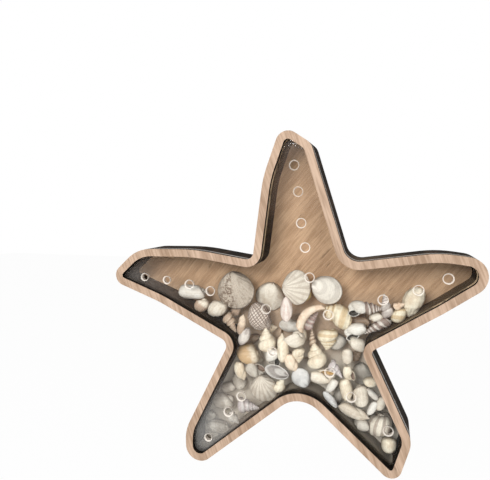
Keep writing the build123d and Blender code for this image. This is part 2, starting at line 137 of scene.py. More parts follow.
class NodeBench:
    """A node tree on which a material or the world is put together."""

    def __init__(self, tree: bpy.types.NodeTree) -> None:
        """Keep the tree."""
        self.tree = tree

    def node(self, kind: str, settings: dict | None = None, sockets: dict | None = None) -> bpy.types.Node:
        """Add a node.

        Args:
            kind: The node's type.
            settings: Values of the node's own properties, set first.
            sockets: Values or wires for its inputs, by name or index.

        Returns:
            The new node.
        """
        node = self.tree.nodes.new(kind)
        for key, value in (settings or {}).items():
            setattr(node, key, value)
        for key, value in (sockets or {}).items():
            self.feed(node.inputs[key], value)
        return node

    def feed(self, socket: bpy.types.NodeSocket, value: Value) -> None:
        """Link a wire to a socket, or set its value.

        Args:
            socket: The input to feed.
            value: A wire, a number, a vector or a colour.
        """
        if isinstance(value, Wire):
            self.tree.links.new(value.socket, socket)
        elif isinstance(value, tuple) and socket.type == "RGBA" and len(value) == 3:
            socket.default_value = (*value, 1.0)
        else:
            socket.default_value = value

    def wire(self, node: bpy.types.Node, output: int | str = 0) -> Wire:
        """Wire of a node's output."""
        return Wire(self, node.outputs[output])

    def maths(self, operation: str, *values: Value, clamp: bool = False) -> Wire:
        """Add a Math node and give its result."""
        settings = {"operation": operation, "use_clamp": clamp}
        return self.wire(self.node("ShaderNodeMath", settings, dict(enumerate(values))))


class Paint(NodeBench):
    """One material and its shader nodes."""

    def __init__(self, name: str) -> None:
        """Start a material with its output and principled shader.

        Args:
            name: The material's name.
        """
        self.material = bpy.data.materials.new(name)
        self.material.use_nodes = True
        super().__init__(self.material.node_tree)
        self.shader = self.tree.nodes["Principled BSDF"]
        self.output = self.tree.nodes["Material Output"]

    def mix(self, factor: Value, first: Value, second: Value) -> Wire:
        """Mix two colours."""
        node = self.node("ShaderNodeMix", {"data_type": "RGBA"}, {0: factor, 6: first, 7: second})
        return self.wire(node, 2)

    def shift(self, place: Wire, distance: float) -> Wire:
        """Move a place by the same distance along each axis."""
        move = {0: place, 1: (distance, distance, distance)}
        return self.wire(self.node("ShaderNodeVectorMath", {"operation": "ADD"}, move))

    def place(self, stretch: Triple = (1.0, 1.0, 1.0), turn: Triple = (0.0, 0.0, 0.0)) -> Wire:
        """Object coordinates, turned and stretched.

        Args:
            stretch: Scale along each axis after the turn.
            turn: Degrees about each axis.

        Returns:
            The place as a vector.
        """
        source = self.wire(self.node("ShaderNodeTexCoord"), "Object")
        angles = tuple(math.radians(angle) for angle in turn)
        sockets = {"Vector": source, "Rotation": angles}
        turned = self.wire(self.node("ShaderNodeMapping", {"vector_type": "POINT"}, sockets))
        scaled = self.node("ShaderNodeVectorMath", {"operation": "MULTIPLY"}, {0: turned, 1: stretch})
        return self.wire(scaled)

    def split(self, vector: Wire) -> tuple[Wire, Wire, Wire]:
        """The X, Y and Z of a vector."""
        parts = self.node("ShaderNodeSeparateXYZ", {}, {0: vector})
        return self.wire(parts, "X"), self.wire(parts, "Y"), self.wire(parts, "Z")

    def noise(
        self, place: Wire, pitch: float, detail: float = 3.0, rough: float = 0.55, twist: float = 0.0
    ) -> Wire:
        """Noise between 0 and 1 at a place.

        Args:
            place: Where it is read.
            pitch: Its scale, in waves to the metre.
            detail: How many finer layers it has.
            rough: How much the finer layers count.
            twist: How far it is distorted.

        Returns:
            The noise.
        """
        sockets = {"Vector": place, "Scale": pitch, "Detail": detail, "Roughness": rough, "Distortion": twist}
        return self.wire(self.node("ShaderNodeTexNoise", {}, sockets))

    def step(self, value: Wire, low: float, high: float) -> Wire:
        """Rise smoothly from 0 to 1 between two values."""
        sockets = {0: value, 1: low, 2: high, 3: 0.0, 4: 1.0}
        return self.wire(self.node("ShaderNodeMapRange", {"interpolation_type": "SMOOTHSTEP"}, sockets))

    def bump(self, height: Value, strength: float, distance: float) -> Wire:
        """Normal of a height."""
        sockets = {"Height": height, "Strength": strength, "Distance": distance}
        return self.wire(self.node("ShaderNodeBump", {}, sockets), "Normal")

    def normal(self) -> Wire:
        """Direction that the surface faces."""
        return self.wire(self.node("ShaderNodeNewGeometry"), "Normal")

    def facing(self) -> Wire:
        """How squarely a surface faces the front or the back, from 0 to 1."""
        _, into_wall, _ = self.split(self.normal())
        return self.maths("ABSOLUTE", into_wall)

    def blend(self, factor: Value, first: Wire, second: Wire) -> None:
        """Put a mix of two shaders on the surface."""
        mixed = self.node("ShaderNodeMixShader", {}, {0: factor, 1: first, 2: second})
        self.feed(self.output.inputs["Surface"], self.wire(mixed))

    def dress(self, **sockets: Value) -> bpy.types.Material:
        """Set the principled shader's sockets, named with underscores for spaces.

        Args:
            sockets: Values or wires.

        Returns:
            The finished material.
        """
        for name, value in sockets.items():
            self.feed(self.shader.inputs[name.replace("_", " ")], value)
        return self.material


# ---------- Finishes of the case ----------


@dataclass(frozen=True)
class BoardFinish:
    """Thin board with a grained face and scorched cut edges.

    The optional colours are for one board each. Low down on the face that looks at the shells lie a
    brown painted shadow of the shells and, lower still, a pale dust that is partly painted light. Shade
    is a painted shade that darkens a face at the lower left. Ledge is a paler colour on low cut edges
    that face up. Bore is the middle and radius of a hole, on whose cut edge the painted shadow colour
    takes the place of the scorched one.
    """

    name: str
    light: Colour
    dark: Colour
    edge: Colour
    edge_light: Colour
    grain_turn: float
    grain_pitch: float = 900.0
    cross_grain: float = 0.0
    contrast: float = 1.0
    dust: Colour | None = None
    shadow_brown: Colour | None = None
    shade: Colour | None = None
    ledge: Colour | None = None
    bore: Triple | None = None
    fine_stretch: float = 0.07
    broad_stretch: float = 0.15
    fleck_stretch: float = 0.16
    cross_stretch: float = 0.05
    cross_turn: float = 78.0
    cross_pitch: float = 420.0
    soot_pitch: float = 260.0
    dust_and_light_pitch: float = 70.0
    dust_and_light_waver: float = 0.02
    shadow_depths: Band = (0.032, 0.056)
    dust_and_light_depths: Band = (0.070, 0.096)
    shade_heights: Band = (-0.045, -0.012)
    ledge_depths: Band = (0.060, 0.078)
    ledge_back: Band = (-0.0215, -0.017)
    arm_reach: Band = (0.015, 0.040)
    arm_heights: Band = (-0.068, -0.052)
    arm_depths: Band = (0.012, 0.020)

    def grain(self, paint: Paint) -> tuple[Wire, Wire, Wire]:
        """Grain and flecks of the face.

        Args:
            paint: The material in progress.

        Returns:
            The fine grain, the share of the light colour and the flecks.
        """
        turn = (0.0, self.grain_turn, 0.0)
        half = 0.16 / self.contrast
        fine = paint.noise(paint.place((self.fine_stretch, 1.0, 1.0), turn), self.grain_pitch, 4.0, 0.6)
        broad_place = paint.place((self.broad_stretch, 1.0, 1.0), turn)
        broad = paint.noise(broad_place, self.grain_pitch * 0.17, 3.0, 0.5, 0.6)
        fleck_place = paint.place((self.fleck_stretch, 1.0, 1.0), turn)
        flecks = paint.step(paint.noise(fleck_place, self.grain_pitch * 0.42, 2.0, 0.5), 0.66, 0.76)
        share = paint.step(fine * 0.55 + broad * 0.45, 0.5 - half, 0.5 + half)
        if self.cross_grain:
            cross = (0.0, self.grain_turn + self.cross_turn, 0.0)
            other = paint.noise(paint.place((self.cross_stretch, 1.0, 1.0), cross), self.cross_pitch, 2.0)
            crossing = paint.step(other, 0.45, 0.62)
            share = paint.maths("MULTIPLY_ADD", crossing, self.cross_grain, share * 0.8)
        return fine, share, flecks

    def face_colour(self, paint: Paint, share: Wire, flecks: Wire) -> Wire:
        """Colour of the flat faces.

        Args:
            paint: The material in progress.
            share: The share of the light colour.
            flecks: Where the flecks are.

        Returns:
            The colour, with the painted shadow, the dust with its painted light and the painted shade that
            lie on it.
        """
        across, _, height = paint.split(paint.place())
        _, into_wall, _ = paint.split(paint.normal())
        below = height * -1.0
        inward = paint.step(into_wall * -1.0, 0.6, 0.8)
        colour = paint.mix(share, self.dark, self.light)
        colour = paint.mix(flecks * 0.55, colour, dimmed(self.dark, 0.42))
        # Painted shadow of the shells, low down on the face that looks at them.
        if self.shadow_brown:
            colour = paint.mix(paint.step(below, *self.shadow_depths) * 0.6 * inward, colour, self.shadow_brown)
        # Pale dust low down, painted also as light that lifts the shade between the lowest shells.
        if self.dust:
            cloud = paint.noise(paint.place(), self.dust_and_light_pitch)
            settled = paint.step(below + cloud * self.dust_and_light_waver, *self.dust_and_light_depths)
            colour = paint.mix(settled * inward, colour, self.dust)
        # Painted shade: the face darkens towards the lower left.
        if self.shade:
            bright = paint.step(height + across * 0.5, *self.shade_heights)
            colour = paint.mix(bright, self.shade, colour)
        return colour

    def edge_colour(self, paint: Paint) -> Wire:
        """Colour of the cut edges.

        Args:
            paint: The material in progress.

        Returns:
            The scorched colour, with the paler colour of low ledges and a painted brown light in the right
            arm.
        """
        across, into_wall, height = paint.split(paint.place())
        below = height * -1.0
        soot = paint.noise(paint.place((1.0, 0.12, 1.0)), self.soot_pitch)
        colour = paint.mix(paint.step(soot, 0.42, 0.7), self.edge, self.edge_light)
        # Around the hole the cut edge takes the painted shadow colour in place of the scorched one.
        if self.bore:
            middle, rise, radius = self.bore
            aside = across - middle
            above = height - rise
            beyond = paint.step(aside * aside + above * above, radius**2, (1.2 * radius) ** 2)
            colour = paint.mix(beyond, self.shadow_brown, colour)
        if self.ledge:
            _, _, up = paint.split(paint.normal())
            # Painted brown light on the upward edges in the right arm.
            right_arm = paint.step(across, *self.arm_reach) * paint.step(height, *self.arm_heights)
            lit = paint.step(up, 0.3, 0.6) * right_arm * paint.step(below, *self.arm_depths)
            colour = paint.mix(lit * 0.8, colour, dimmed(self.dark, 0.36))
            # Low edges that face up take the paler ledge colour, more so towards the back.
            settled = paint.step(up, 0.46, 0.66) * paint.step(below, *self.ledge_depths)
            amount = paint.step(into_wall, *self.ledge_back) * 0.75 + 0.1
            colour = paint.mix(settled * amount, colour, self.ledge)
        return colour

    def make(self) -> bpy.types.Material:
        """Build the material.

        Returns:
            A wood face with fine grain, fleck marks and dark cut edges.
        """
        paint = Paint(self.name)
        fine, share, flecks = self.grain(paint)
        is_face = paint.step(paint.facing(), 0.6, 0.8)
        return paint.dress(
            Base_Color=paint.mix(is_face, self.edge_colour(paint), self.face_colour(paint, share, flecks)),
            Roughness=is_face * -0.2 + 0.78 + fine * 0.08,
            Normal=paint.bump(fine * 0.6 + flecks * -0.4, 0.35, 0.0002),
            Specular_IOR_Level=0.12,
        )


@dataclass(frozen=True)
class ClearFinish:
    """Clear cast sheet with a milky painted reflection, milky cut edges and pale countersinks."""

    name: str
    # Grey of the painted reflection.
    painted_reflection: Colour = (0.62, 0.60, 0.57)
    warm: Colour = (0.62, 0.40, 0.27)
    edge: Colour = (0.62, 0.55, 0.48)
    rim: Colour = (0.95, 0.88, 0.79)
    tint: Colour = (0.97, 0.975, 0.97)
    warm_haze: float = 0.04
    milky_reflection: float = 0.13
    cloud_pitch: float = 28.0
    scuff_pitch: float = 900.0
    gloss_share: float = 0.25
    refraction: float = 1.42
    top_depths: Band = (-0.020, 0.005)
    corner: Band = (0.055, 0.115)

    def make(self) -> bpy.types.Material:
        """Build the material.

        Returns:
            A see-through sheet with a milky painted reflection at the lower left, and warmer at the top.
        """
        paint = Paint(self.name)
        spot = paint.place()
        across, _, height = paint.split(spot)
        below = height * -1.0
        top = 1.0 - paint.step(below, *self.top_depths)
        lower_left = paint.step(across * -1.0 * 0.8 + below * 0.6, *self.corner)
        cloud = paint.step(paint.noise(spot, self.cloud_pitch), 0.38, 0.68)
        streaks = paint.place((1.0, 1.0, 0.2), (0.0, 35.0, 0.0))
        scuff = paint.step(paint.noise(streaks, self.scuff_pitch, 2.0), 0.62, 0.8)
        # Painted reflection: a milky share at the lower left, with a faint warm tint at the top.
        painted_reflection = lower_left * (cloud * 0.6 + 0.4) * self.milky_reflection + top * self.warm_haze
        is_face = paint.step(paint.facing(), 0.82, 0.95)
        cut = (1.0 - is_face) * (0.6 - top * 0.28)
        rim = paint.mix(paint.step(paint.facing(), 0.15, 0.4), self.edge, self.rim)
        # The faces take the grey of the painted reflection at the lower left and the warm tint elsewhere.
        paint.dress(
            Base_Color=paint.mix(is_face, rim, paint.mix(lower_left, self.warm, self.painted_reflection)),
            Roughness=0.22 + scuff * 0.2,
            Specular_IOR_Level=0.5,
        )
        clear = paint.wire(paint.node("ShaderNodeBsdfTransparent", {}, {"Color": self.tint}))
        gloss = paint.wire(paint.node("ShaderNodeBsdfGlossy", {}, {"Color": WHITE, "Roughness": 0.06}))
        fresnel = paint.wire(paint.node("ShaderNodeFresnel", {}, {"IOR": self.refraction}))
        share = fresnel * self.gloss_share
        glass = paint.wire(paint.node("ShaderNodeMixShader", {}, {0: share, 1: clear, 2: gloss}))
        body = paint.maths("ADD", painted_reflection + scuff * 0.008, cut, clamp=True)
        paint.blend(body, glass, paint.wire(paint.shader))
        return paint.material


@dataclass(frozen=True)
class MetalFinish:
    """Plated metal with fine scratches."""

    name: str
    colour: Colour
    roughness: float

    def make(self) -> bpy.types.Material:
        """Build the material.

        Returns:
            A metal with brushed lines and dull spots.
        """
        paint = Paint(self.name)
        lines = paint.noise(paint.place((0.06, 1.0, 1.0)), 2500.0)
        spots = paint.noise(paint.place(), 380.0)
        return paint.dress(
            Base_Color=paint.mix(paint.step(spots, 0.4, 0.75), self.colour, dimmed(self.colour, 0.6)),
            Metallic=1.0,
            Roughness=self.roughness + lines * 0.16 + spots * 0.08,
            Normal=paint.bump(lines, 0.2, 0.0001),
        )


@dataclass(frozen=True)
class RubberFinish:
    """Soft dark rubber with dust."""

    name: str
    colour: Colour
    dust: Colour = (0.35, 0.34, 0.32)

    def make(self) -> bpy.types.Material:
        """Build the material.

        Returns:
            A dull rubber with pale dust.
        """
        paint = Paint(self.name)
        specks = paint.noise(paint.place(), 700.0, 4.0)
        return paint.dress(
            Base_Color=paint.mix(paint.step(specks, 0.5, 0.8) * 0.4, self.colour, self.dust),
            Roughness=0.7 + specks * 0.15,
            Normal=paint.bump(specks, 0.3, 0.0001),
        )


# ---------- Finishes of the shells ----------


@dataclass(frozen=True)
class ShellFinish:
    """Colours and pattern of a shell, laid along its growth and around its whorls.

    Count is how often the pattern repeats, amount how strongly the second colour shows, inside the
    colour inside a snail's mouth, mostly a painted shade of its hollow, and relief the strength of the
    fine bumps. The sides darken with a painted shade.
    """

    base: Colour
    second: Colour
    pattern: Pattern = Pattern.MOTTLED
    count: float = 8.0
    amount: float = 0.5
    # Mostly a painted shade of the hollow inside a snail's mouth.
    inside: Colour = (0.20, 0.13, 0.09)
    relief: float = 0.4
    cloud_pitch: float = 170.0
    grit_pitch: float = 1500.0
    stain_pitch: float = 360.0
    stain_amount: float = 0.34
    grit_amount: float = 0.30
    line_amount: float = 0.12
    # How strongly the painted shade darkens the sides.
    side_shade_amount: float = 0.68
    whorl_lines: float = 420.0
    valve_lines: float = 110.0
    mouth_edge: Band = (0.925, 0.955)

    def mask(self, paint: Paint, along: Wire, around: Wire, cloud: Wire) -> Wire:
        """Where the second colour lies.

        Args:
            paint: The material in progress.
            along: Place along the growth, from apex to mouth or across a valve.
            around: Place around a whorl, or from beak to margin.
            cloud: Soft noise that makes the pattern uneven.

        Returns:
            A mask between 0 and 1.
        """
        turn = 2 * math.pi * self.count
        wobble = cloud * 1.6
        rings = paint.maths("SINE", around * turn + wobble)
        rays = paint.maths("SINE", along * turn + wobble)
        if self.pattern is Pattern.ROUND_BANDS:
            return paint.step(rings + cloud * 0.5, 0.1, 0.9)
        if self.pattern is Pattern.LONG_STRIPES:
            return paint.step(rays + cloud * 0.5, 0.1, 0.9)
        if self.pattern is Pattern.NET:
            fine_rays = paint.maths("SINE", along * (turn * 4) + wobble)
            return paint.step(paint.maths("MAXIMUM", rings, fine_rays) + cloud * 0.3, 0.45, 1.0)
        if self.pattern is Pattern.PITTED:
            pits = paint.step(paint.noise(paint.place(), 700.0, 2.0), 0.47, 0.53)
            worn = paint.step(along, 0.06, 0.40) * (1.0 - paint.step(along, 0.44, 0.54))
            return paint.maths("MAXIMUM", pits * worn, paint.step(rays, 0.3, 0.9) * 0.22)
        return paint.step(cloud, 0.42, 0.66)

    def make(self, name: str, seed: float, kind: Kind) -> bpy.types.Material:
        """Build the material.

        Args:
            name: The shell's name.
            seed: Shifts the noise, so that no two shells are alike.
            kind: The shell's form.

        Returns:
            The shell's material.
        """
        paint = Paint(name)
        along, around, _ = paint.split(paint.wire(paint.node("ShaderNodeUVMap")))
        growth, pitch = (around, self.valve_lines) if kind is Kind.VALVE else (along, self.whorl_lines)
        spot = paint.shift(paint.place(), seed)
        cloud = paint.noise(spot, self.cloud_pitch, 3.0, 0.6)
        grit = paint.noise(spot, self.grit_pitch, 4.0, 0.65)
        stain = paint.step(paint.noise(spot, self.stain_pitch, 3.0, 0.6), 0.50, 0.64)
        lines = paint.maths("SINE", growth * pitch + cloud * 5.0) * 0.5 + 0.5
        # Painted shade: where the surface turns away from the front.
        side_shade = 1.0 - paint.step(paint.facing(), 0.0, 0.8)
        colour = paint.mix(self.mask(paint, along, around, cloud) * self.amount, self.base, self.second)
        colour = paint.mix(stain * self.stain_amount, colour, self.second)
        colour = paint.mix(lines * self.line_amount, colour, dimmed(self.second, 0.55))
        specks = paint.step(grit, 0.50, 0.72) * self.grit_amount
        colour = paint.mix(specks, colour, dimmed(self.second, 0.5))
        # Painted shade darkens the sides that turn away from the front.
        colour = paint.mix(side_shade * self.side_shade_amount, colour, dimmed(self.second, 0.45))
        # Inside the lip the mouth takes the inside colour, mostly a painted shade of the hollow.
        if kind is Kind.SNAIL:
            colour = paint.mix(paint.step(along, *self.mouth_edge), colour, self.inside)
        return paint.dress(
            Base_Color=colour,
            Roughness=0.42 + grit * 0.2,
            Coat_Weight=0.06 + cloud * 0.08,
            Normal=paint.bump(grit * 0.5 + lines * 0.35 + cloud * 0.4, self.relief, 0.00035),
            Coat_Roughness=0.3,
            Specular_IOR_Level=0.45,
        )


FINISHES: dict[str, ShellFinish] = {
    "bone": ShellFinish((0.78, 0.71, 0.61), (0.50, 0.39, 0.28), amount=0.5),
    "chalk": ShellFinish((0.80, 0.76, 0.70), (0.54, 0.46, 0.38), amount=0.45, inside=(0.05, 0.04, 0.03)),
    "ridged": ShellFinish((0.78, 0.72, 0.64), (0.46, 0.40, 0.35), Pattern.ROUND_BANDS, 2.5, 0.4),
    "cream": ShellFinish((0.86, 0.78, 0.63), (0.58, 0.42, 0.27), amount=0.5),
    "butter": ShellFinish(
        (0.82, 0.73, 0.56), (0.58, 0.40, 0.21), Pattern.ROUND_BANDS, 5.0, 0.7, inside=(0.12, 0.08, 0.04)
    ),
    "ochre": ShellFinish((0.80, 0.70, 0.56), (0.52, 0.31, 0.13), Pattern.ROUND_BANDS, 1.0, 0.8),
    "ochre_mouth": ShellFinish(
        (0.84, 0.76, 0.65), (0.60, 0.47, 0.34), amount=0.4, inside=(0.56, 0.36, 0.15)
    ),
    "peach": ShellFinish((0.86, 0.72, 0.57), (0.66, 0.42, 0.27), amount=0.65),
    "pink_bands": ShellFinish((0.86, 0.77, 0.71), (0.48, 0.29, 0.26), Pattern.ROUND_BANDS, 1.0, 0.8),
    "pink": ShellFinish((0.85, 0.76, 0.70), (0.62, 0.44, 0.37), Pattern.LONG_STRIPES, 5.0, 0.45),
    "lilac_bands": ShellFinish((0.82, 0.78, 0.76), (0.46, 0.38, 0.38), Pattern.ROUND_BANDS, 2.0, 0.7),
    "net": ShellFinish((0.72, 0.63, 0.55), (0.22, 0.15, 0.12), Pattern.NET, 29.0, 1.0, relief=0.9),
    "brown_bands": ShellFinish((0.78, 0.71, 0.64), (0.22, 0.15, 0.12), Pattern.ROUND_BANDS, 2.0, 0.95),
    "brown": ShellFinish((0.50, 0.36, 0.25), (0.26, 0.16, 0.10), Pattern.ROUND_BANDS, 2.0, 0.6),
    "striped": ShellFinish((0.80, 0.73, 0.62), (0.32, 0.24, 0.19), Pattern.LONG_STRIPES, 38.0, 0.7),
    "grey": ShellFinish((0.60, 0.55, 0.48), (0.40, 0.34, 0.28), amount=0.5),
    "grey_white": ShellFinish((0.80, 0.73, 0.67), (0.34, 0.28, 0.25), Pattern.ROUND_BANDS, 1.0, 0.7),
    "weathered": ShellFinish(
        (0.57, 0.485, 0.40), (0.16, 0.10, 0.065), Pattern.PITTED, 26.0, 0.85, relief=0.9
    ),
    "fan": ShellFinish((0.74, 0.67, 0.58), (0.42, 0.33, 0.25), Pattern.LONG_STRIPES, 12.0, 0.5, relief=0.6),
    "blue_white": ShellFinish((0.68, 0.66, 0.64), (0.44, 0.42, 0.42), Pattern.ROUND_BANDS, 2.0, 0.3),
    "mussel": ShellFinish((0.62, 0.58, 0.54), (0.24, 0.20, 0.18), Pattern.ROUND_BANDS, 1.5, 0.7),
    "hazy": ShellFinish((0.69, 0.63, 0.55), (0.27, 0.22, 0.17), Pattern.ROUND_BANDS, 2.0, 0.6),
    "tan": ShellFinish((0.78, 0.63, 0.48), (0.38, 0.25, 0.17), Pattern.ROUND_BANDS, 2.0, 0.75),
    "spiral": ShellFinish((0.82, 0.74, 0.62), (0.42, 0.26, 0.17), Pattern.ROUND_BANDS, 2.0, 0.75),
}


# ---------- Shell forms ----------


@dataclass(frozen=True)
class Coil:
    """Proportions of a snail shell's tube as it winds down from the apex.

    Each turn away from the mouth is smaller by shrink. Reach and drop carry the tube out and down,
    belly lengthens it along the axis, and mouth is its width at the opening. A square under 1 gives
    it flat sides. Ribs run along the shell and cords around it.
    """

    turns: float
    shrink: float
    reach: float
    drop: float
    belly: float
    rib_count: float = 0.0
    rib_height: float = 0.0
    cord_count: float = 0.0
    cord_height: float = 0.0
    mouth: float = 0.6
    square: float = 1.0


COILS: dict[str, Coil] = {
    "globe": Coil(3.4, 2.3, 0.72, 1.15, 1.15, mouth=0.42),
    "moon": Coil(3.2, 2.7, 0.78, 0.95, 1.05, mouth=0.7),
    "whelk": Coil(4.0, 1.85, 0.62, 2.3, 1.6, 11, 0.03, 10, 0.03, mouth=0.45),
    "corded": Coil(4.2, 1.75, 0.66, 2.7, 1.45, 0, 0.0, 14, 0.035, mouth=0.45),
    "barrel": Coil(3.5, 2.1, 0.48, 1.5, 2.1, mouth=0.6, square=0.55),
    "spindle": Coil(5.0, 1.6, 0.50, 3.0, 2.1, mouth=0.4),
    "egg": Coil(2.6, 3.0, 0.45, 0.9, 1.7, mouth=0.7, square=0.75),
    "cone": Coil(5.0, 1.55, 0.66, 3.2, 1.3, mouth=0.5),
    "turret": Coil(7.0, 1.38, 0.80, 5.4, 1.08, mouth=0.6),
}

# How much longer and wider than its solid a shell is: the smallest most, longer ones less.
FULLNESS = 1.22
LEAST_FULLNESS = 1.03
FULLNESS_FALL = 0.014
SHORTEST = 6.0

# Where a snail's tube leaves its pointed apex, ends outside, and turns back inside.
APEX = 0.03
LIP = 0.92
RIM = 0.95

# The lip flares out over a short turn, folds in over the rim and goes back into a narrower hollow.
FLARE = 0.07
FLARE_TURN = 0.18
FOLD = 0.20
HOLLOW = 0.87
HOLLOW_TURN = 0.9
MOUTH_TURN = 2.6
WAVER = 0.035

VALVE_WALL = 0.6 * MM
SEAM = 0.01 * MM


def inner_share(along: np.ndarray) -> np.ndarray:
    """How far inside a snail's mouth a place is, from 0 at the rim to 1."""
    return np.clip((along - RIM) / (1 - RIM), 0, 1)


def show_only(shape: bpy.types.Object) -> None:
    """Select one object alone and make it active.

    Args:
        shape: The object.
    """
    bpy.ops.object.select_all(action="DESELECT")
    shape.select_set(True)
    bpy.context.view_layer.objects.active = shape


def squared(wave: np.ndarray, power: float) -> np.ndarray:
    """A wave whose crests are flattened by a power under 1."""
    return np.sign(wave) * np.abs(wave) ** power


def wrapped_sheet(name: str, cells: tuple[int, int], form: Form) -> bpy.types.Object:
    """Model a sheet and wrap it over a form.

    Args:
        name: The piece's name.
        cells: Cells along and across the sheet.
        form: Gives the points of the form for the places along and across.

    Returns:
        The wrapped sheet, with its seams and poles closed and a UV map.
    """
    along, across = cells
    bpy.ops.object.select_all(action="DESELECT")
    bpy.ops.mesh.primitive_grid_add(x_subdivisions=along, y_subdivisions=across, size=1.0, calc_uvs=True)
    shape = bpy.context.active_object
    shape.name = name
    mesh = shape.data
    flat = np.empty(len(mesh.vertices) * 3)
    mesh.vertices.foreach_get("co", flat)
    flat = flat.reshape(-1, 3)
    points = form(flat[:, 0] + 0.5, flat[:, 1] + 0.5)
    mesh.vertices.foreach_set("co", points.ravel())
    mesh.update()
    bpy.ops.object.mode_set(mode="EDIT")
    bpy.ops.mesh.select_all(action="SELECT")
    bpy.ops.mesh.remove_doubles(threshold=SEAM)
    bpy.ops.mesh.normals_make_consistent(inside=False)
    bpy.ops.object.mode_set(mode="OBJECT")
    bpy.ops.object.shade_smooth()
    return shape


def finish_modifier(shape: bpy.types.Object, kind: str, **settings: float | bool) -> None:
    """Add a modifier and apply it.

    Args:
        shape: The piece.
        kind: The modifier's type.
        settings: Values of its properties.
    """
    show_only(shape)
    modifier = shape.modifiers.new(kind.lower(), kind)
    for key, value in settings.items():
        setattr(modifier, key, value)
    bpy.ops.object.modifier_apply(modifier=modifier.name)


